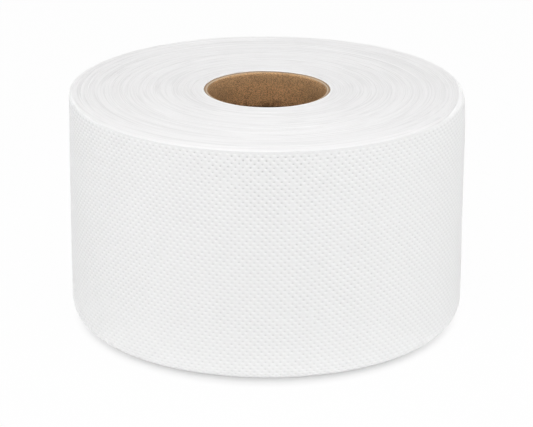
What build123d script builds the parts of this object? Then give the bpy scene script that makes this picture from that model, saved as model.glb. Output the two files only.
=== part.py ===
"""Toilet paper roll that stands on its end: one long sheet wound on a kraft board core."""

from build123d import *

import os
from itertools import cycle
from math import cos, radians, sin

# Driving dimensions, in millimetres and degrees

ROLL_DIAMETER = 190.0  # across the outermost turn
SHEET_WIDTH = 112.0  # the roll's height as it stands
SHEET_THICKNESS = 0.4  # two embossed plies pressed together
TAIL_BEARING = 112.0  # where the sheet's tail lies, counted from +X round the back
TOP_RIM = 4.0  # the outer turns' edges are drawn in at the upper end
BASE_RIM = 7.0  # and further at the end that the roll stands on
RIM_GROUPS = 4  # groups of outer turns that step back round each rim

CORE_OUTSIDE = 60.6  # the first turn is glued to this face
CORE_WALL = 1.9  # two plies of kraft board
CORE_SETBACK = 0.3  # the core's sawn edges lie this far inside the turns' edges

# Both ends show the turns. The first ones, on the core, and the last ones, which the roll stands
# on, lie flush. In between, turns wound at one tension lie level as a group, sunk under the end.
FIRST_TURNS = 1.6
LAST_TURNS = 3.0
GROUP_WIDTH = 6.0  # a usual group's width, outward
GROUP_DEPTH = 0.6  # how far the deepest group is sunk
TURN_GROUPS = (  # each group's share of that width and of that depth
    (0.90, 1.00),
    (0.97, 0.33),
    (0.97, 0.92),
    (1.02, 0.42),
    (1.10, 0.17),
    (0.73, 0.75),
    (0.93, 0.25),
    (0.88, 1.00),
    (1.42, 0.50),
)

# Sizes worked out from them

ROLL_RADIUS = ROLL_DIAMETER / 2
CORE_RADIUS = CORE_OUTSIDE / 2
BORE_RADIUS = CORE_RADIUS - CORE_WALL
CORE_LENGTH = SHEET_WIDTH - 2 * CORE_SETBACK


def end_outline(rim):
    """Radius and depth along one end, from the first turns over the groups and round the rim."""
    flat_edge = ROLL_RADIUS - rim
    radius = CORE_RADIUS + FIRST_TURNS
    outline = [(radius, 0)]
    for width_share, depth_share in cycle(TURN_GROUPS):
        group_edge = radius + width_share * GROUP_WIDTH
        if group_edge > flat_edge - LAST_TURNS:
            break
        depth = depth_share * GROUP_DEPTH
        outline += [(radius, depth), (group_edge, depth)]
        radius = group_edge
    outline.append((radius, 0))
    for group in range(RIM_GROUPS + 1):
        turned = radians(90 * group / RIM_GROUPS)
        outline.append((flat_edge + rim * sin(turned), rim - rim * cos(turned)))
    return outline


def half_of_turns(inset, bearing):
    """Half a revolution of the wound sheet, solid to its axis, with every turn drawn in by inset."""
    base = [(radius - inset, depth) for radius, depth in end_outline(BASE_RIM)]
    top = [(radius - inset, SHEET_WIDTH - depth) for radius, depth in end_outline(TOP_RIM)]
    outline = [(0, 0)] + base + top[::-1] + [(0, SHEET_WIDTH)]
    section = Plane.XZ * make_face(Polyline(outline, close=True))
    return Rot(0, 0, bearing) * revolve(section, Axis.Z, 180)


def paper_roll():
    """All the turns as the one solid that they make together.

    The spiral has two centres, half a sheet apart on the tail's bearing, one for each half of it.
    The halves meet smoothly opposite the tail. Over both of them a turn climbs by one sheet, and
    where the outermost turn ends, that leaves the tail's step.
    """
    drop = SHEET_THICKNESS / 2
    shift = Pos(-drop * cos(radians(TAIL_BEARING)), -drop * sin(radians(TAIL_BEARING)), 0)
    turns = half_of_turns(0, TAIL_BEARING - 180) + shift * half_of_turns(drop, TAIL_BEARING)
    return turns - extrude(Circle(CORE_RADIUS), SHEET_WIDTH)


def cardboard_core():
    """The tube that the first turn is glued to, open from end to end."""
    ring = Circle(CORE_RADIUS) - Circle(BORE_RADIUS)
    return Pos(0, 0, CORE_SETBACK) * extrude(ring, CORE_LENGTH)


os.makedirs("parts", exist_ok=True)
export_step(paper_roll(), "parts/paper_roll.step")
export_step(cardboard_core(), "parts/cardboard_core.step")
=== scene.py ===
"""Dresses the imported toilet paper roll: embossed outer turn, wound ends, board core, studio."""

from math import cos, pi, radians, sin, tau

import bpy
import numpy as np
from bpy.props import FloatProperty, FloatVectorProperty, IntProperty, PointerProperty
from mathutils import Matrix, Vector


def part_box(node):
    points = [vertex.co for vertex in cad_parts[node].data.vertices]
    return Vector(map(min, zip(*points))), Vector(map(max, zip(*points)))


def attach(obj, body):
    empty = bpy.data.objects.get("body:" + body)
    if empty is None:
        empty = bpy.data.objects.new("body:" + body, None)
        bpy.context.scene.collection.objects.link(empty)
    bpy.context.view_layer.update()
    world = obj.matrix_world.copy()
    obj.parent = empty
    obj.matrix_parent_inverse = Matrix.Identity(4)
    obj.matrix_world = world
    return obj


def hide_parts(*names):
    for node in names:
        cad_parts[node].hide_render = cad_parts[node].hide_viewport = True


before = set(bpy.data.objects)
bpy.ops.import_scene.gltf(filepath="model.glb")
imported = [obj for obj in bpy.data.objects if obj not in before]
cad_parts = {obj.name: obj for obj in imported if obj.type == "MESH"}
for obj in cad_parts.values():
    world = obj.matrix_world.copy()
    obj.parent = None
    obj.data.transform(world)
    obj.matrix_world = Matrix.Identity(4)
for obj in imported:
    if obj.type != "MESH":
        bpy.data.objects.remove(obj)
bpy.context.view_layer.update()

bl_info = {
    "name": "Toilet paper roll",
    "version": (1, 0, 0),
    "blender": (4, 5, 0),
    "location": "3D View > Sidebar > Paper roll",
    "description": "Builds an embossed toilet paper roll on a board core, and a studio round it",
    "category": "Add Mesh",
}

MM = 0.001
PAPER_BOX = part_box("paper_roll")
CORE_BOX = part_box("cardboard_core")


# Sizes and colours that a user would change


def length_setting(name, default, description):
    return FloatProperty(
        name=name, default=default, description=description, unit="LENGTH", precision=5
    )


def colour_setting(name, default, description):
    return FloatVectorProperty(
        name=name, default=default, description=description, subtype="COLOR", min=0, max=1
    )


class RollShape(bpy.types.PropertyGroup):
    radius: length_setting("Roll radius", PAPER_BOX[1][0], "From the axis to the outermost turn")
    width: length_setting("Sheet width", PAPER_BOX[1][2], "The roll's height as it stands")
    sheet: length_setting("Sheet thickness", 0.4 * MM, "Two plies, and what each turn climbs")
    unevenness: length_setting("Unevenness", 0.16 * MM, "How far soft hollows sink into the side")
    end_relief: length_setting("End relief", 0.07 * MM, "How far the turns' edges stray from level")
    tail: FloatProperty(
        name="Tail bearing",
        description="Where the sheet's tail lies, counted from +X round the back",
        default=radians(112),
        subtype="ANGLE",
    )


class Embossing(bpy.types.PropertyGroup):
    pits_round: IntProperty(
        name="Pits in a row", description="Pits in one row round the roll", default=171, min=20
    )
    row_spacing: length_setting("Row spacing", 1.675 * MM, "From one row of pits to the next")
    depth: length_setting("Pit depth", 0.34 * MM, "Depth of a fully pressed pit")
    width: length_setting("Pit radius", 0.55 * MM, "Where a third of a pit's depth is left")


class CoreShape(bpy.types.PropertyGroup):
    outside: length_setting("Outside radius", CORE_BOX[1][0], "The face that the sheet is glued to")
    wall: length_setting("Wall", 1.9 * MM, "Two plies of kraft board")


class RollColours(bpy.types.PropertyGroup):
    paper: colour_setting("Paper", (0.896, 0.897, 0.896), "The flat sheet")
    cut: colour_setting("Turns' edges", (0.955, 0.949, 0.951), "The sheet's edges on both ends")
    # The pit floor colour is painted shade in the middle of each pit
    pit: colour_setting("Pit floor", (0.56, 0.565, 0.56), "A pit's floor, where the plies are thin")
    board: colour_setting("Board", (0.545, 0.325, 0.16), "The kraft board")
    sawn_board: colour_setting("Sawn board", (0.29, 0.215, 0.15), "The board's sawn edge")
    cut_board: colour_setting("Cut board", (0.55, 0.44, 0.32), "The line between the sawn plies")


class StudioSettings(bpy.types.PropertyGroup):
    sky: FloatProperty(name="Sky", description="Strength of the even light", default=0.1, min=0)
    horizon: FloatProperty(
        name="Horizon", description="Strength of the band of light all round", default=4.85, min=0
    )
    key: FloatProperty(
        name="Key lamp", description="Soft lamp overhead", default=6.95, min=0, unit="POWER"
    )
    lens: FloatProperty(
        name="Lens", description="Focal length on a 36 mm sensor", default=182.48, min=10
    )


# Shader maths


class Term:
    """A shader socket that Python's operators work on, each by adding a Math node."""

    def __init__(self, graph, socket):
        self.graph = graph
        self.socket = socket

    def math(self, operation, *others):
        return self.graph.math(operation, self, *others)

    def __add__(self, other):
        return self.math("ADD", other)

    def __sub__(self, other):
        return self.math("SUBTRACT", other)

    def __mul__(self, other):
        return self.math("MULTIPLY", other)

    def __truediv__(self, other):
        return self.math("DIVIDE", other)

    def __rsub__(self, other):
        return self.graph.math("SUBTRACT", other, self)

    __radd__ = __add__
    __rmul__ = __mul__


class Graph:
    """A node tree. node() adds any node, sets it up and joins its sockets."""

    def __init__(self, tree):
        self.tree = tree
        tree.nodes.clear()

    def node(self, kind, settings=None, sockets=None, result=0):
        made = self.tree.nodes.new("ShaderNode" + kind)
        for name, value in (settings or {}).items():
            setattr(made, name, value)
        for name, value in (sockets or {}).items():
            if isinstance(value, Term):
                self.tree.links.new(value.socket, made.inputs[name])
            else:
                made.inputs[name].default_value = value
        return Term(self, made.outputs[result]) if len(made.outputs) else made

    def math(self, operation, *values):
        return self.node("Math", {"operation": operation}, dict(enumerate(values)))

    def blend(self, amount, first, second, kind="MIX"):
        """Goes from the first colour to the second as amount goes from 0 to 1."""
        settings = {"data_type": "RGBA", "blend_type": kind}
        return self.node("Mix", settings, {0: amount, 6: first, 7: second}, result=2)

    def mix(self, amount, first, second):
        """Goes from the first shader to the second as amount goes from 0 to 1."""
        return self.node("MixShader", None, {0: amount, 1: first, 2: second})

    def noise(self, vector, scale=1.0, detail=2.0, rough=0.5):
        sockets = {"Vector": vector, "Scale": scale, "Detail": detail, "Roughness": rough}
        return self.node("TexNoise", {"noise_dimensions": "3D"}, sockets)

    def step(self, value, low, high):
        """0 below low, 1 above high and smooth between; the other way round where low is higher."""
        if low > high:
            return 1 - self.step(value, high, low)
        settings = {"interpolation_type": "SMOOTHSTEP"}
        return self.node("MapRange", settings, {"Value": value, "From Min": low, "From Max": high})

    def vector(self, x, y, z):
        return self.node("CombineXYZ", None, {"X": x, "Y": y, "Z": z})

    def split(self, vector):
        """The three parts of a vector."""
        return [self.node("SeparateXYZ", None, {0: vector}, axis) for axis in "XYZ"]

    def place(self):
        """The point on the piece in millimetres: x, y and z."""
        return [part * 1000 for part in self.split(self.node("TexCoord", result="Object"))]

    def seen(self):
        """1 for what a camera sees, straight on or in a mirror or glass, and 0 for other light."""
        rays = self.node("LightPath", result="Is Camera Ray")
        for kind in ("Is Glossy Ray", "Is Transmission Ray"):
            rays = rays.math("MAXIMUM", self.node("LightPath", result=kind))
        return rays

    def surface(self, colour, roughness, shine, height):
        """Ends the material in a rough surface. The height of its relief is in millimetres."""
        normal = self.node("Bump", None, {"Height": height, "Distance": MM, "Strength": 1.0})
        sockets = {"Base Color": colour, "Roughness": roughness, "Normal": normal}
        sockets |= {"Specular IOR Level": shine, "IOR": 1.45, "Metallic": 0.0}
        shader = self.node("BsdfPrincipled", None, sockets)
        self.node("OutputMaterial", None, {"Surface": shader})


def new_material(name):
    material = bpy.data.materials.new(name)
    material.use_nodes = True
    return material, Graph(material.node_tree)


def rgba(colour, share=1.0):
    """A share of a colour, opaque."""
    return (*(share * part for part in colour), 1.0)


def grey(level):
    return (level, level, level, 1.0)


def distance(x, y):
    """How far a point lies from the core's axis."""
    return (x * x + y * y).math("SQRT")


def embossed_tissue(shape, emboss, colours):
    """White tissue with a staggered lattice of round pits, matt and slightly cloudy."""
    material, g = new_material("embossed_tissue")
    x, y, z = g.place()
    across, down, pressed = g.split(
        g.node("Attribute", {"attribute_name": "lattice"}, result="Vector")
    )
    pitch = tau * shape.radius / MM / emboss.pits_round
    rise = 2 * emboss.row_spacing / MM

    def dots(radius, drop=0.0, flat=1.0):
        """Soft dots on the pits, or lower by drop. Every other row is half a pitch along."""
        squares = []
        for shift in (0.0, 0.5):
            column, row = across + shift, down + shift
            aside = (column - column.math("ROUND")) * pitch
            below = ((row - row.math("ROUND")) * rise - drop) * flat
            squares.append(aside * aside + below * below)
        nearest = squares[0].math("MINIMUM", squares[1])
        return (nearest * (-1 / radius**2)).math("EXPONENT") * pressed

    pit = dots(emboss.width / MM)
    # Painted shade in the middle of each pit, in the pit floor colour
    floor = dots(radius=0.38, flat=1.35)
    # A painted highlight below each pit, where its lower rim catches light from above
    painted_rim_highlight = dots(radius=0.95, drop=0.68, flat=1.8)

    spot = g.vector(x, y, z)
    cloud = g.noise(spot, scale=0.09, detail=3.0, rough=0.55)
    crepe = g.noise(g.vector(x * 2.6, y * 2.6, z * 0.5), detail=3.0, rough=0.6)
    fibre = g.noise(spot, scale=4.2, detail=3.0, rough=0.65)
    shade = (cloud - 0.5) * 0.09 + (crepe - 0.5) * 0.05 + (fibre - 0.5) * 0.05
    paper = g.blend(shade + 0.05, rgba(colours.paper), rgba(colours.paper, 0.9))
    paper = g.blend(painted_rim_highlight * 1.35, paper, grey(0.97))
    paper = g.blend(floor * 0.66, paper, rgba(colours.pit))

    height = crepe * 0.035 + fibre * 0.03 - pit * (emboss.depth / MM)
    g.surface(paper, roughness=0.86 + cloud * 0.1, shine=0.25, height=height)
    return material


def cut_tissue(colours, core):
    """The turns' edges: white, with faint streaks that follow the turns part of the way round."""
    material, g = new_material("cut_tissue")
    x, y, z = g.place()
    radius = distance(x, y)
    along, aside = x / radius, y / radius
    beyond = radius - core.outside / MM

    def streaks(round_it, outward, detail=2.0):
        """Noise in arcs: how much it changes round the roll, and with each millimetre outward."""
        place = g.vector(along * round_it, aside * round_it, radius * outward)
        return g.noise(place, detail=detail, rough=0.6)

    broad = streaks(1.1, 0.5)
    fine = streaks(0.9, 2.2)
    thin = g.step((streaks(0.8, 1.2, detail=0.0) - 0.5).math("ABSOLUTE"), 0.08, 0.01)
    fibre = g.noise(g.vector(x, y, z), scale=5.0, detail=3.0, rough=0.7)

    # The edges darken a little towards the core, and the first turn on it is painted white, a
    # painted highlight along its edge
    shade = (broad - 0.5) * 0.1 + (fine - 0.5) * 0.3 + thin * 0.24 + (fibre - 0.5) * 0.3
    shade += g.step(beyond, 31.7, 3.7) * 0.06
    paper = g.blend(shade + 0.07, rgba(colours.cut), rgba(colours.cut, 0.7))
    paper = g.blend(g.step(beyond, 1.1, 0.7), paper, grey(0.98))

    height = fine * 0.05 - thin * 0.04 + fibre * 0.03
    g.surface(paper, roughness=0.88 + fine * 0.08, shine=0.2, height=height)
    return material


def kraft_board(colours, core):
    """Brown kraft board: darker flecks, paler fibres, and on the sawn edge a pale line."""
    material, g = new_material("kraft_board")
    x, y, z = g.place()
    low, high = CORE_BOX[0][2] / MM, CORE_BOX[1][2] / MM
    depth = high - z
    inward = core.outside / MM - distance(x, y)

    blotch = g.noise(g.vector(x, y, z), scale=0.28, detail=3.0, rough=0.6)
    grain = g.noise(g.vector(x, y, z * 1.3), scale=1.7, detail=4.0, rough=0.7)
    fleck = g.step(g.noise(g.vector(x * 1.6, y * 1.6, z * 2.2)), 0.57, 0.69)
    hair = g.noise(g.vector(x * 1.1, y * 1.1, z * 2.8), scale=1.25, rough=0.6)
    fibre = g.step(hair, 0.6, 0.74)

    shade = (blotch - 0.5) * 0.9 + (grain - 0.5) * 6.5 + 0.36
    body = g.blend(shade, rgba(colours.board, 1.25), rgba(colours.board, 0.55))
    body = g.blend(fleck * 0.75, body, rgba(colours.board, 0.45))
    body = g.blend(fibre * 0.5, body, rgba(colours.cut_board))

    # Painted light and shade in the bore: it is painted paler towards the back, a little under the
    # rim, as a pool of light, and painted shade lies deeper down, patchy from about 13 mm and
    # darkest from about 17 mm down
    pale = g.step(y, 18.0, 27.0) * g.step(depth, 2.7, 8.7)
    body = g.blend(pale, body, (1.3, 1.25, 1.22, 1.0), "MULTIPLY")
    blots = g.step(grain * 0.6 + blotch * 0.4, 0.42, 0.56)
    painted_deep_shade = g.step(depth, 12.7, 17.2) * (0.15 + blots * 0.85)
    body = g.blend(painted_deep_shade, body, (0.5, 0.46, 0.42, 1.0), "MULTIPLY")
    body = g.blend(g.step(depth, 16.8, 17.6) * 0.7, body, (0.1, 0.08, 0.06, 1.0), "MULTIPLY")

    # Both sawn edges: a pale line between the plies, and at the front a dark edge by the bore,
    # which is painted shade
    from_middle = (z - (low + high) / 2).math("ABSOLUTE")
    edge = g.step(from_middle, (high - low) / 2 - 0.6, (high - low) / 2 - 0.35)
    line = g.step(inward, 1.7, 1.45) * g.step(inward, 0.85, 1.0)
    inner = g.step(inward, 1.5, 1.75) * g.step(y, 5.0, -26.0)
    sawn = g.blend(line, rgba(colours.sawn_board), rgba(colours.cut_board))
    sawn = g.blend(inner * 0.9, sawn, rgba(colours.board, 0.2))
    board = g.blend(edge, body, g.blend(0.85, body, sawn))

    height = grain * 0.05 + blotch * 0.05 - fleck * 0.02
    g.surface(board, roughness=0.78 + grain * 0.12, shine=0.3, height=height)
    return material


def studio_floor(shape, core):
    """Pale floor that a camera, and what the object mirrors, see as white with a contact shadow,
    partly real and partly painted.
    """
    material, g = new_material("studio_floor")
    x, y, z = g.place()
    radius = distance(x, y)
    roll, bore = shape.radius / MM, core.outside / MM

    def matt(level):
        return g.node("BsdfDiffuse", None, {"Color": grey(level)})

    def glow(level):
        return g.node("Emission", None, {"Color": grey(level)})

    # What lights the roll: a pale floor, a little paler beside the roll
    grain = g.noise(g.vector(x, y, z), scale=0.02)
    open_floor = g.mix(grain, matt(0.7), matt(0.74))
    lit = g.mix(g.step(radius, roll + 1.0, roll + 17.0), matt(0.97), open_floor)

    # What a camera sees: through the bore it is dark, with hardly any glow, near the roll the
    # roll's shadow shows, deepened by a painted shadow where the glow is dimmer, and further off,
    # sooner at the sides, it is white
    far = g.step(distance(x * 1.077, y), roll - 3.0, roll + 7.0)
    under = g.mix(g.step(radius, bore + 1.7, bore - 4.3), glow(0.51), glow(0.03))
    near = g.node("AddShader", None, {0: matt(0.35), 1: under})
    white = g.node("AddShader", None, {0: matt(0.02), 1: glow(0.976)})
    g.node("OutputMaterial", None, {"Surface": g.mix(g.seen(), lit, g.mix(far, near, white))})
    return material


# Mesh helpers


def soft_field(chance, rows, columns, row_spread, column_spread):
    """Seeded random field of unit spread, smooth over the given numbers of rows and columns."""
    waves = np.fft.fft2(chance.standard_normal((rows, columns)))
    up = np.fft.fftfreq(rows)[:, None] * row_spread
    along = np.fft.fftfreq(columns)[None, :] * column_spread
    waves *= np.exp(-2 * pi**2 * (up**2 + along**2))
    field = np.fft.ifft2(waves).real
    return field / field.std()


def spiral_field(chance, turns, columns, turn_spread, share_spread):
    """Seeded field of unit spread on a spiral, smooth from turn to turn and along the sheet.

    The spreads are a number of turns and a share of one turn.
    """
    field = chance.standard_normal((turns + 1) * columns)
    waves = np.fft.rfft(field)
    pace = np.fft.rfftfreq(field.size)
    waves *= np.exp(-2 * (pi * pace * share_spread * columns) ** 2)
    field = np.fft.irfft(waves, field.size)
    reach = int(3 * turn_spread) + 1
    weights = np.exp(-0.5 * (np.arange(-reach, reach + 1) / turn_spread) ** 2)
    table = np.pad(field.reshape(turns + 1, columns), ((reach, reach), (0, 0)), mode="wrap")
    field = sum(w * table[i : i + turns + 1] for i, w in enumerate(weights)).ravel()
    return (field / field.std())[: turns * columns + 1]


def closed(field):
    """A field round the roll, with its first column again at its end."""
    return np.c_[field, field[:, :1]]


def polar(radius, bearing, height):
    """Points by their distance from the core's axis, bearing from +X and height."""
    radius, bearing, height = np.broadcast_arrays(radius, bearing, height)
    return np.stack([radius * np.cos(bearing), radius * np.sin(bearing), height], -1)


def drawn_in(points, inward, drop=0.0):
    """Copies of points, nearer to the core's axis and lower."""
    moved = points.copy()
    reach = np.hypot(points[:, 0], points[:, 1])
    moved[:, :2] *= ((reach - inward) / reach)[:, None]
    moved[:, 2] -= drop
    return moved


def strip(first, second):
    """Four-sided faces between two rows of points, given by their numbers."""
    return np.stack([first[:-1], second[:-1], second[1:], first[1:]], -1).tolist()


def rings(start, count, columns):
    """The numbers of the points on rings, each closed by its first point."""
    numbers = start + np.arange(count * columns).reshape(count, columns)
    return closed(numbers)


def add_piece(name, points, faces, material, node):
    """A smooth piece that rides on the roll and stands for one of its solids."""
    mesh = bpy.data.meshes.new(name)
    mesh.from_pydata(np.asarray(points).tolist(), [], faces)
    if mesh.validate():
        raise RuntimeError(f"{name} had faces that Blender couldn't use")
    mesh.materials.append(material)
    mesh.shade_smooth()
    piece = bpy.data.objects.new(name, mesh)
    bpy.context.collection.objects.link(piece)
    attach(piece, "root")
    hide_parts(node)
    return piece


# How the turns end. At the front the outer turn's upper edge stands up straight as a lip, and
# elsewhere it folds in over the shoulder. Below, all the turns by the edge curl in.

LIP_INSET = 0.15 * MM  # the lip leans in this far
LIP_DROP = 0.75 * MM  # and ends this far under the sheet's full width
SHOULDER = 11.0 * MM  # behind the lip the turns slope down over this width
SHOULDER_DROP = 0.25 * MM
BEVEL = 6.0 * MM  # and once more over this one, down to the lip
FOLD_START = 6.5 * MM  # the fold begins this far under the upper edge
FOLD_END = 1.15  # and turns through this angle, in radians
LEAST_FOLD = 0.02 * MM  # not 0, because a length is divided by it
FOLDS = (  # the fold's radius in millimetres at each bearing from +X, in degrees
    (0, 4.6),
    (10, 3.6),
    (20, 3.0),
    (35, 3.0),
    (50, 3.5),
    (90, 5.4),
    (120, 4.3),
    (140, 3.6),
    (160, 2.6),
    (170, 1.8),
    (180, 1.6),
    (195, 2.0),
    (210, 1.2),
    (225, 0.0),
    (315, 0.0),
    (330, 1.0),
    (345, 3.2),
)
LEAN = 1.1 * MM  # the upper edge leans in by this at the lean's bearing
LEAN_BEARING = -10.0  # in degrees
LEAN_SPREAD = 16.0
LEAN_HEIGHT = 14.0 * MM
BASE_CURL = 7.0 * MM  # the base curl's radius at the front and back
SIDE_CURL = 2.4 * MM  # and how much wider it is at the sides
CURL_END = radians(76)
CURL_BLEND = 50.0 * MM  # the wall makes up for a wider curl over this height


def degrees_from(bearing, middle):
    """How far a bearing lies from a middle one, from -180 to 180 degrees."""
    return (np.degrees(bearing) - middle + 180) % 360 - 180


def fold_radius(bearing):
    bearings, radii = zip(*FOLDS)
    radius = MM * np.interp(np.degrees(bearing), bearings, radii, period=360)
    return np.maximum(radius, LEAST_FOLD)


def upper_lean(bearing):
    """How far the upper edge leans in on the right."""
    return LEAN * np.exp(-((degrees_from(bearing, LEAN_BEARING) / LEAN_SPREAD) ** 2))


def curl_radius(bearing):
    """The base curl is wider at the roll's sides than at its front and back."""
    return BASE_CURL + SIDE_CURL * np.cos(bearing) ** 4


def lip_share(fold):
    """How far the edge is a straight lip, where it isn't folded."""
    return np.clip(1 - fold / (2 * MM), 0, 1)


def edge_radius(shape, turned):
    """The outermost turn's distance from the axis, by how far round it is from the tail.

    Two half circles make the turn, with their centres half a sheet apart, so it climbs one sheet.
    """
    half = shape.sheet / 2
    aside = half * np.sin(turned)
    back = -half * np.cos(turned) + np.sqrt((shape.radius - half) ** 2 - aside**2)
    return np.where(turned < pi, back, shape.radius)


# The outer turn. How hard a pit is pressed is a share of the full depth

GRID = 4  # points of the grid from one pit to the next, across and down
PIT_RIM = 0.52 * MM  # from a pit's middle to the points on its rim
USUAL_PRESS = 0.785
PATCH_SPREAD = 0.06  # how much the pits differ from patch to patch
PIT_SPREAD = 0.09  # and from one to the next
FAINT_PITS = 0.03  # this share of them is hardly pressed
FAINT_PRESS = 0.15
LEAST_PRESS, MOST_PRESS = 0.1, 1.25
HILL_PRESS = 0.7  # on the points between the pits, where their soft edges meet
LESS_RIGHT = 0.35  # how much less they are pressed on the right
LESS_LOW = 0.25  # and on the lower half of the wall
PIT_SINK = 0.7  # share of the depth that a pit's middle is sunk, and the rest is in the material
RIM_SINK = 0.1  # and that the points on its rim are sunk
HILL = 0.03 * MM  # between four pits the sheet stands out
CREASE = 0.06 * MM
CREASE_START = 1.6  # a crease lies where its field is past this
SWAY = 0.2 * MM  # how far the rows of pits stray along the sheet
DRIFT = 0.12 * MM  # and up and down
BRIM = ((0.0, 0.0), (0.36 * MM, 0.02 * MM), (0.5 * MM, 1.0 * MM))  # inward and down from the edge
NIB = 0.45 * MM  # the tail's torn edge reaches this far at each bridge of the perforation
TEAR = 0.1 * MM  # and falls this far short between them
TAIL_STEP = 1.15  # the step at the tail reaches this many sheets inward


def outer_turn_outline(width):
    """Inset and height down the outer turn, from its upper edge to where it curls in."""
    foot = width - FOLD_START
    upper = [(LIP_INSET * t**2, foot + (FOLD_START - LIP_DROP) * t) for t in np.linspace(1, 0, 30)]
    curl = np.linspace(0, CURL_END, 60)
    lower = [(BASE_CURL * (1 - cos(a)), BASE_CURL * (1 - sin(a))) for a in curl]
    return np.array(upper + lower)


def pit_strengths(chance, tail, rows, columns):
    """How hard the pits are pressed: uneven in patches, and less on the right and low down."""
    patches = soft_field(chance, rows, columns, 9, 26)
    pits = chance.standard_normal((rows, columns))
    pressed = USUAL_PRESS + PATCH_SPREAD * patches + PIT_SPREAD * pits
    pressed = np.where(chance.random((rows, columns)) < FAINT_PITS, FAINT_PRESS, pressed)
    pressed = np.clip(pressed, LEAST_PRESS, MOST_PRESS)
    right = np.clip(np.cos(tail + tau * np.arange(columns) / columns), 0, 1)
    low = np.clip(2.5 * np.linspace(0, 1, rows)[:, None] - 1.25, 0, 1)
    return pressed * (1 - LESS_RIGHT * right) * (1 - LESS_LOW * low)


def draw_to_pits(pit, pressed, step_across, step_down):
    """Draws the four points round each pit in to its rim.

    Returns how far each point moves across and down, in steps of the grid, and how hard it is
    pressed.
    """
    across, down, strength = np.zeros((3, *pit.shape))
    for aside, below in ((1, 0), (-1, 0), (0, 1), (0, -1)):
        beside = np.roll(pit, (below, aside), (0, 1))
        across -= beside * aside * (1 - PIT_RIM / step_across)
        down -= beside * below * (1 - PIT_RIM / step_down)
        strength += beside * np.roll(pressed, (below, aside), (0, 1))
    down[0] = 0.0
    return across, down, np.where(pit, pressed, strength)


def curl_under(rest, bearing, inset, height):
    """Gives the lower wall the curl's own radius, by how far it is from the sheet's lower edge."""
    curl = curl_radius(bearing)
    angle = np.clip(CURL_END - rest / curl, 0, None)
    share = np.clip(rest / CURL_BLEND, 0, 1)
    curled = curl * (1 - np.sin(angle)) + np.clip(rest - curl * CURL_END, 0, None)
    curled += (curl - BASE_CURL) * (CURL_END - 1) * share
    inset = np.where(share < 1, curl * (1 - np.cos(angle)), inset)
    return inset, np.where(share < 1, curled, height)


def fold_over(width, bearing, inset, height):
    """Replaces the straight wall upwards of the fold's foot, and leans it in on the right."""
    fold = fold_radius(bearing)
    lip = LIP_DROP * lip_share(fold)
    raised = np.clip((height - width + FOLD_START) / (FOLD_START - LIP_DROP), 0, 1)
    along = (1 - raised) * (FOLD_START - lip + (FOLD_END - 1) * fold)
    angle = np.clip(FOLD_END - along / fold, 0, None)
    folded = width - lip - fold * (1 - np.sin(angle)) - np.clip(along - fold * FOLD_END, 0, None)
    lean = upper_lean(bearing) * np.clip((height - width) / LEAN_HEIGHT + 1, 0, 1)
    return inset + fold * (1 - np.cos(angle)) + lean, np.where(raised > 0, folded, height)


def grid_triangles(number, crossed):
    """Two triangles for each square of a grid, cut from upper left to lower right.

    Where crossed is true, a square is cut from upper right to lower left instead.
    """
    a, b = number[:-1, :-1], number[:-1, 1:]
    c, d = number[1:, 1:], number[1:, :-1]
    crossed = crossed[..., None]
    one = np.where(crossed, np.stack([a, d, b], -1), np.stack([a, d, c], -1))
    two = np.where(crossed, np.stack([b, d, c], -1), np.stack([a, c, b], -1))
    return one.reshape(-1, 3).tolist() + two.reshape(-1, 3).tolist()


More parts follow.
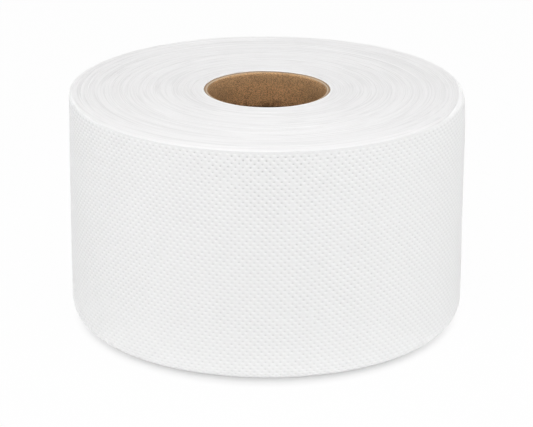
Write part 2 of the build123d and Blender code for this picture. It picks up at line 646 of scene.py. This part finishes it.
class OuterTurn(bpy.types.Operator):
    """Embossed outer turn of the sheet, from its upper edge to its curl under the roll"""

    bl_idname = "paper_roll.outer_turn"
    bl_label = "Outer turn"

    def execute(self, context):
        scene = context.scene
        shape, emboss = scene.roll_shape, scene.roll_embossing
        chance = np.random.default_rng(4)
        outline = outer_turn_outline(shape.width)
        lengths = np.r_[0, np.cumsum(np.hypot(*np.diff(outline, axis=0).T))]

        # The grid's steps across and down. Every other row of pits lies half a pitch along
        columns = GRID * emboss.pits_round
        step_across = tau / columns
        step_down = 2 * emboss.row_spacing / GRID
        rows = int(lengths[-1] / step_down) + 1
        row, column = np.mgrid[0:rows, 0:columns]
        even = (row % 2 == 1) & (column % 2 == 0)
        pit = even & ((row - 1) % GRID == column % GRID)
        hill = even & ~pit
        pressed = pit_strengths(chance, shape.tail, rows, columns)
        arc_step = shape.radius * step_across
        shift_across, shift_down, strength = draw_to_pits(pit, pressed, arc_step, step_down)

        # Along both edges of the sheet the points stay put, and between them they stray and sink
        inside = np.clip(np.minimum(row, rows - 1 - row) / 2, 0, 1) ** 2.7
        sway = SWAY * soft_field(chance, rows, columns, 12, 22)
        drift = DRIFT * soft_field(chance, rows, columns, 7, 30)
        hollow = soft_field(chance, rows, columns, 10, 30)
        crease = np.clip(soft_field(chance, rows, columns, 0.9, 14) - CREASE_START, 0, None)
        sunk = shape.unevenness * (1 + np.tanh(hollow)) / 2 + CREASE * crease
        sunk += emboss.depth * np.where(pit, PIT_SINK, RIM_SINK) * strength - HILL * hill
        sunk = closed(sunk * inside)
        down = closed((row + shift_down) * step_down + drift * inside)
        turned = (np.arange(columns + 1) + closed(shift_across)) * step_across
        turned += closed(sway) / shape.radius

        # The wall with its curl and its fold, sunk along its inward normal
        inset = np.interp(down, lengths, outline[:, 0])
        height = np.interp(down, lengths, outline[:, 1])
        normal_in = -np.interp(down, lengths, np.gradient(outline[:, 1], lengths))
        normal_up = np.interp(down, lengths, np.gradient(outline[:, 0], lengths))
        rest = np.clip(lengths[-1] - down, 0, None)
        inset, height = curl_under(rest, shape.tail + turned, inset, height)
        inset, height = fold_over(shape.width, shape.tail + turned, inset, height)
        radius = edge_radius(shape, np.clip(turned, 0, tau)) - inset - sunk * normal_in
        height = height + sunk * normal_up

        turned[:, 0] = 0.0
        turned[:, -1] = tau + np.where(np.arange(rows) % GRID == 0, NIB, -TEAR) / shape.radius
        grid = polar(radius, shape.tail + turned, height)
        number = np.arange(rows * (columns + 1)).reshape(rows, columns + 1)
        pits, hills = closed(pit), closed(hill)
        crossed = pits[:-1, :-1] | pits[1:, 1:] | hills[:-1, 1:] | hills[1:, :-1]
        faces = grid_triangles(number, crossed)

        # The upper edge is cut square, and its inner side is tucked behind the shoulder
        brim = number.size + np.arange(len(BRIM) * (columns + 1)).reshape(len(BRIM), -1)
        for upper, lower in zip(brim, brim[1:]):
            faces += strip(lower, upper)
        extra = [drawn_in(grid[0], inward, drop) for inward, drop in BRIM]

        # The tail's step down to the turn below
        tail = number.size + brim.size + np.arange(rows)
        faces += strip(tail, tail + rows)
        extra += [grid[:, -1], drawn_in(grid[:, -1], TAIL_STEP * shape.sheet)]

        points = np.concatenate([grid.reshape(-1, 3), *extra])
        material = embossed_tissue(shape, emboss, scene.roll_colours)
        piece = add_piece("outer_turn", points, faces, material, "paper_roll")

        # Where each point of the grid lies in the lattice of pits, and how hard the pit by it is
        # pressed. Away from the pits that is a usual amount
        lattice = np.zeros((len(points), 3))
        across = np.arange(columns + 1) + closed(shift_across)
        spread = np.where(strength > 0, strength, HILL_PRESS) * inside
        lattice[: number.size, 0] = (across / GRID).ravel()
        lattice[: number.size, 1] = closed((row - 1 + shift_down) / GRID).ravel()
        lattice[: number.size, 2] = closed(spread).ravel()
        attribute = piece.data.attributes.new("lattice", "FLOAT_VECTOR", "POINT")
        attribute.data.foreach_set("vector", lattice.ravel())
        return {"FINISHED"}


# Groups of turns on an end, outward from the core: each one's share of the width and of the depth

FIRST_TURNS = 1.6 * MM
GROUP_WIDTH = 6.0 * MM
GROUP_DEPTH = 0.6 * MM
TURN_GROUPS = (
    (0.90, 1.00),
    (0.97, 0.33),
    (0.97, 0.92),
    (1.02, 0.42),
    (1.10, 0.17),
    (0.73, 0.75),
    (0.93, 0.25),
    (0.88, 1.00),
    (1.42, 0.50),
)
GROUP_SHARE = 0.2  # how much of the groups' depth the loose edges leave
GROUP_EASE = 0.25 * MM
LAST_GROUP_INSET = 7.5 * MM

# The turns' edges: how strong each field is, and its spread in turns and as a share of a turn

END_FIELDS = ((0.5, 0.5, 0.25), (0.35, 1.2, 0.3), (0.1, 5.0, 0.3))
EDGE_SINK = 1.4  # between two ridges the sheet's edge lies this many reliefs lower
RIM_WIDTH = 20.0 * MM  # the fold and the lean draw in the turns this far from the outermost

# At the back the first turn has come away from the next and leans over the core

LEAN_OVER = 1.1 * MM
LOOSE_BEARING = 74.0  # in degrees
LOOSE_SPREAD = 24.0
LOOSE_GAP = 1.3 * MM  # the gap's depth
LOOSE_GAP_PLACE = 1.1 * MM  # its distance from the core
LOOSE_GAP_WIDTH = 0.32 * MM


def group_depth(radius, core_radius, last):
    """How far the groups of turns are sunk at a radius, eased where one group meets the next."""
    sunk = np.zeros_like(radius)
    edge = core_radius + FIRST_TURNS
    before = 0.0
    for width_share, depth_share in (*TURN_GROUPS, (np.inf, 0.0)):
        width = width_share * GROUP_WIDTH
        depth = depth_share * GROUP_DEPTH if edge + width <= last else 0.0
        sunk += (depth - before) / 2 * (1 + np.tanh((radius - edge) / GROUP_EASE))
        if edge + width > last:
            break
        edge += width
        before = depth
    return sunk


def loose_share(bearing):
    """How far the first turn has come away from the next: 1 at the back, 0 elsewhere."""
    return np.exp(-((degrees_from(bearing, LOOSE_BEARING) / LOOSE_SPREAD) ** 4))


def upper_rim(fold, inward):
    """How far the turns by the upper edge lie under the sheet's full width."""
    past = inward - LIP_INSET
    soft = SHOULDER_DROP * np.clip(1 - past / SHOULDER, 0, 1) ** 2
    soft += (LIP_DROP - SHOULDER_DROP) * np.clip(1 - past / BEVEL, 0, 1) ** 2
    over = np.clip(fold - inward, 0, fold)
    return lip_share(fold) * soft + fold - np.sqrt(fold**2 - over**2)


def lower_rim(curl, inward):
    """How far the turns by the base lie above its plane, just inside the outer turn's curl."""
    over = np.clip(curl - inward, 0, curl)
    return curl - np.sqrt(curl**2 - over**2) + 0.25 * MM * np.clip(over / MM, 0, 1)


def wound_end(scene, name, columns, upper, seed):
    """One end of the roll: each turn's edge is a ridge that follows the spiral."""
    shape, core = scene.roll_shape, scene.roll_core
    chance = np.random.default_rng(seed)
    pitch, inner = shape.sheet, core.outside
    outer = shape.radius - (LIP_INSET - 0.1 * MM if upper else BASE_CURL - 2.0 * MM)
    turns = int((outer - inner) / pitch)
    last = turns * columns

    turned = tau * np.arange(last + 1) / columns
    within = turned % tau
    climbed = turned / tau
    bearing = shape.tail + turned
    edge = edge_radius(shape, within)
    wander = (edge - shape.radius + pitch * (1 - within / tau)) * climbed / turns
    rough = sum(w * spiral_field(chance, turns, columns, *spreads) for w, *spreads in END_FIELDS)

    def line(share, sink):
        """Points along the spiral, by their share of a sheet outward and how far they are sunk."""
        radius = inner + pitch * (climbed + share) + wander
        fold = fold_radius(bearing) if upper else 0.0
        rim = np.clip(1 - (edge - radius) / RIM_WIDTH, 0, 1) ** 2
        pulled = rim * (fold * (1 - cos(FOLD_END)) + (upper_lean(bearing) if upper else 0.0))
        inward = edge - radius + pulled
        radius = radius - pulled

        # The turns by the rim lie level, and at the roll's sides the ridges stand out most
        calm = np.clip((inward - 1.5 * MM) / (2.0 * MM), 0, 1)
        sunk = (1.5 - np.clip(rough, -2.5, 1.5)) * calm
        sunk += sink * (0.4 + 0.6 * calm) * (0.75 + 1.1 * np.cos(bearing) ** 2)
        sunk *= shape.end_relief
        sunk += GROUP_SHARE * group_depth(radius, inner, shape.radius - LAST_GROUP_INSET)
        if not upper:
            return polar(radius, bearing, sunk + lower_rim(curl_radius(bearing), inward))

        sunk += upper_rim(fold, inward)
        beyond = radius - inner
        leaning = loose_share(bearing) * np.clip(1 - (beyond - 0.4 * MM) / (0.5 * MM), 0, 1)
        gap = np.exp(-(((beyond - LOOSE_GAP_PLACE) / LOOSE_GAP_WIDTH) ** 2))
        sunk = sunk * (1 - leaning) + LOOSE_GAP * loose_share(bearing) * gap
        return polar(radius - LEAN_OVER * leaning, bearing, shape.width - sunk)

    edge_line = np.arange(last + 1)
    ridge_line = edge_line + last + 1
    faces = strip(edge_line, ridge_line)
    faces += strip(ridge_line[: last - columns + 1], edge_line[columns:])

    # The first turn's bore, a circle that the spiral starts from, and its side down by the core
    round_core = shape.tail + tau * np.arange(columns) / columns
    lean = LEAN_OVER * loose_share(round_core) if upper else 0.0
    walls = []
    for share, down in ((1.0, 0.03 * MM), (1.0, 0.22 * MM), (0.0, 0.5 * MM), (0.0, 3.0 * MM)):
        height = shape.width - down if upper else down
        walls.append(polar(inner + 0.01 * MM - lean * share, round_core, height))
    bore = rings(2 * (last + 1), len(walls), columns)
    faces += strip(bore[0, :-1], edge_line[:columns])
    seam = (bore[0, -2], columns - 1, columns, ridge_line[0], 0, bore[0, 0])
    faces.append([int(number) for number in seam])
    for above, below in zip(bore, bore[1:]):
        faces += strip(below, above)
    if not upper:
        faces = [face[::-1] for face in faces]

    points = np.concatenate([line(0.0, EDGE_SINK), line(0.5, 0.0), *walls])
    material = cut_tissue(scene.roll_colours, core)
    return add_piece(name, points, faces, material, "paper_roll")


class WoundEnds(bpy.types.Operator):
    """Both ends of the roll, with the turns' edges"""

    bl_idname = "paper_roll.wound_ends"
    bl_label = "Wound ends"

    def execute(self, context):
        wound_end(context.scene, "upper_end", columns=300, upper=True, seed=11)
        wound_end(context.scene, "lower_end", columns=180, upper=False, seed=12)
        return {"FINISHED"}


# Round a sawn edge from the outer face to the bore, in millimetres: how far in, how far down, and
# how much further down the torn inner ply ends at the back

SAWN_EDGE = (
    (0.00, 1.60, 0.0),
    (0.00, 0.25, 0.0),
    (0.08, 0.06, 0.0),
    (0.35, 0.00, 0.0),
    (0.70, 0.00, 0.0),
    (0.88, 0.05, 0.0),
    (0.98, 0.16, 0.3),
    (1.30, 0.12, 0.4),
    (1.52, 0.10, 0.4),
    (1.66, 0.20, 0.4),
    (1.80, 0.38, 0.4),
    (1.88, 0.70, 0.3),
    (1.90, 1.60, 0.0),
)
SAWN_DEPTH = 0.5  # the edge is fuzzy down to this depth
WORN_DEPTH = 1.3  # and at the front worn down to this one
FUZZ = 0.03 * MM
WEAR = 0.15 * MM
BORE_WAVES = 0.05 * MM
BORE_SHARES = np.linspace(0.975, 0.025, 27)  # heights of the rings down the bore


class BoardCore(bpy.types.Operator):
    """Kraft board tube with its sawn edges"""

    bl_idname = "paper_roll.board_core"
    bl_label = "Board core"

    def execute(self, context):
        scene = context.scene
        core = scene.roll_core
        chance = np.random.default_rng(21)
        columns = 288
        low, high = CORE_BOX[0][2], CORE_BOX[1][2]
        bearing = tau * np.arange(columns) / columns
        worn = WEAR * np.clip(0.1 - 1.6 * np.sin(bearing), 0, 1)
        back = np.clip(1.6 * np.sin(bearing) - 0.3, 0, 1)

        # Over the upper edge, down the bore and round the lower edge: how far in each ring lies,
        # its height and its fuzz
        profile = []
        for inward, down, further in SAWN_EDGE:
            height = high - down * MM - further * MM * back - (down < WORN_DEPTH) * worn
            profile.append((inward * MM, height, -FUZZ * (down < SAWN_DEPTH)))
        for share in BORE_SHARES:
            profile.append((core.wall, low + (high - low) * share, 0.0))
        for inward, down, further in reversed(SAWN_EDGE):
            profile.append((inward * MM, low + down * MM, FUZZ * (down < SAWN_DEPTH)))

        fuzz = np.abs(soft_field(chance, len(profile), columns, 0.8, 2.0))
        waves = BORE_WAVES * soft_field(chance, len(profile), columns, 4.0, 14.0)
        points = []
        for (inward, height, fuzzy), nap, wave in zip(profile, fuzz, waves):
            radius = core.outside - inward + (inward > core.wall - 0.05 * MM) * wave
            points.append(polar(radius, bearing, height + fuzzy * nap))

        numbers = rings(0, len(profile), columns)
        faces = []
        for here, there in zip(numbers, np.roll(numbers, -1, axis=0)):
            faces += strip(there, here)
        points = np.concatenate(points)
        material = kraft_board(scene.roll_colours, core)
        add_piece("board_core", points, faces, material, "cardboard_core")
        return {"FINISHED"}


FLOOR_REACH = 6.0
LAMP_PLACE = (0.0, -0.2, 0.9)
LAMP_AIM = (0.0, 0.0, 0.06)
LAMP_SIZE = 0.9

# The photograph's viewing angle: the camera looks down by its pitch and leans by its roll

CAMERA_PLACE = (0.0, -1.236726, 0.489142)
CAMERA_PITCH = 0.34227
CAMERA_ROLL = 0.00467


class Studio(bpy.types.Operator):
    """White floor, even light, soft lamp and the camera"""

    bl_idname = "paper_roll.studio"
    bl_label = "Studio"

    def execute(self, context):
        scene = context.scene
        studio = scene.roll_studio
        scene.view_settings.view_transform = "Standard"

        corners = [(-1, -1, 0), (1, -1, 0), (1, 1, 0), (-1, 1, 0)]
        mesh = bpy.data.meshes.new("studio_floor")
        mesh.from_pydata((FLOOR_REACH * np.array(corners)).tolist(), [], [(0, 1, 2, 3)])
        mesh.materials.append(studio_floor(scene.roll_shape, scene.roll_core))
        floor = bpy.data.objects.new("studio_floor", mesh)
        context.collection.objects.link(floor)

        # A camera sees white, and the roll is lit by a band that is strongest at the sides
        scene.world = bpy.data.worlds.new("studio_sky")
        scene.world.use_nodes = True
        g = Graph(scene.world.node_tree)
        seen = g.seen()
        aside, behind, up = g.split(g.node("TexCoord", result="Generated"))
        sides = 0.8 + 0.95 * (aside * aside).math("POWER", 3.0)
        front = 0.5 + 0.5 * g.step(behind, 0.5, -0.2)
        band = (1 - up.math("ABSOLUTE")).math("POWER", 6.0) * sides * front
        strength = seen + (1 - seen) * (studio.sky + band * studio.horizon)
        sky = g.node("Background", None, {"Color": grey(1.0), "Strength": strength})
        g.node("OutputWorld", None, {"Surface": sky})

        lamp = bpy.data.lights.new("key_lamp", "AREA")
        lamp.energy = studio.key
        lamp.size = LAMP_SIZE
        holder = bpy.data.objects.new("key_lamp", lamp)
        holder.location = LAMP_PLACE
        aim = Vector(LAMP_AIM) - Vector(LAMP_PLACE)
        holder.rotation_euler = aim.to_track_quat("-Z", "Y").to_euler()
        context.collection.objects.link(holder)

        camera = bpy.data.cameras.new("camera")
        camera.sensor_fit = "HORIZONTAL"
        camera.sensor_width = 36.0
        camera.lens = studio.lens
        camera.clip_start = 0.05
        holder = bpy.data.objects.new("camera", camera)
        turn = Matrix.Rotation(pi / 2 - CAMERA_PITCH, 4, "X") @ Matrix.Rotation(CAMERA_ROLL, 4, "Z")
        holder.matrix_world = Matrix.Translation(CAMERA_PLACE) @ turn
        context.collection.objects.link(holder)
        scene.camera = holder
        return {"FINISHED"}


STEPS = (Studio, OuterTurn, WoundEnds, BoardCore)
GROUPS = {
    "roll_shape": RollShape,
    "roll_embossing": Embossing,
    "roll_core": CoreShape,
    "roll_colours": RollColours,
    "roll_studio": StudioSettings,
}


class RollPanel(bpy.types.Panel):
    """Buttons for the roll's pieces and its studio, with their settings"""

    bl_idname = "VIEW3D_PT_paper_roll"
    bl_label = "Paper roll"
    bl_space_type = "VIEW_3D"
    bl_region_type = "UI"
    bl_category = "Paper roll"

    def draw(self, context):
        for step in STEPS:
            self.layout.operator(step.bl_idname)
        for name in GROUPS:
            group = getattr(context.scene, name)
            box = self.layout.box()
            for setting in group.__annotations__:
                box.prop(group, setting)


def register():
    for name, group in GROUPS.items():
        bpy.utils.register_class(group)
        setattr(bpy.types.Scene, name, PointerProperty(type=group))
    for kind in (*STEPS, RollPanel):
        bpy.utils.register_class(kind)


def unregister():
    for kind in (RollPanel, *reversed(STEPS)):
        bpy.utils.unregister_class(kind)
    for name, group in GROUPS.items():
        delattr(bpy.types.Scene, name)
        bpy.utils.unregister_class(group)


def main():
    register()
    bpy.ops.paper_roll.studio()
    bpy.ops.paper_roll.outer_turn()
    bpy.ops.paper_roll.wound_ends()
    bpy.ops.paper_roll.board_core()


if __name__ == "__main__":
    main()
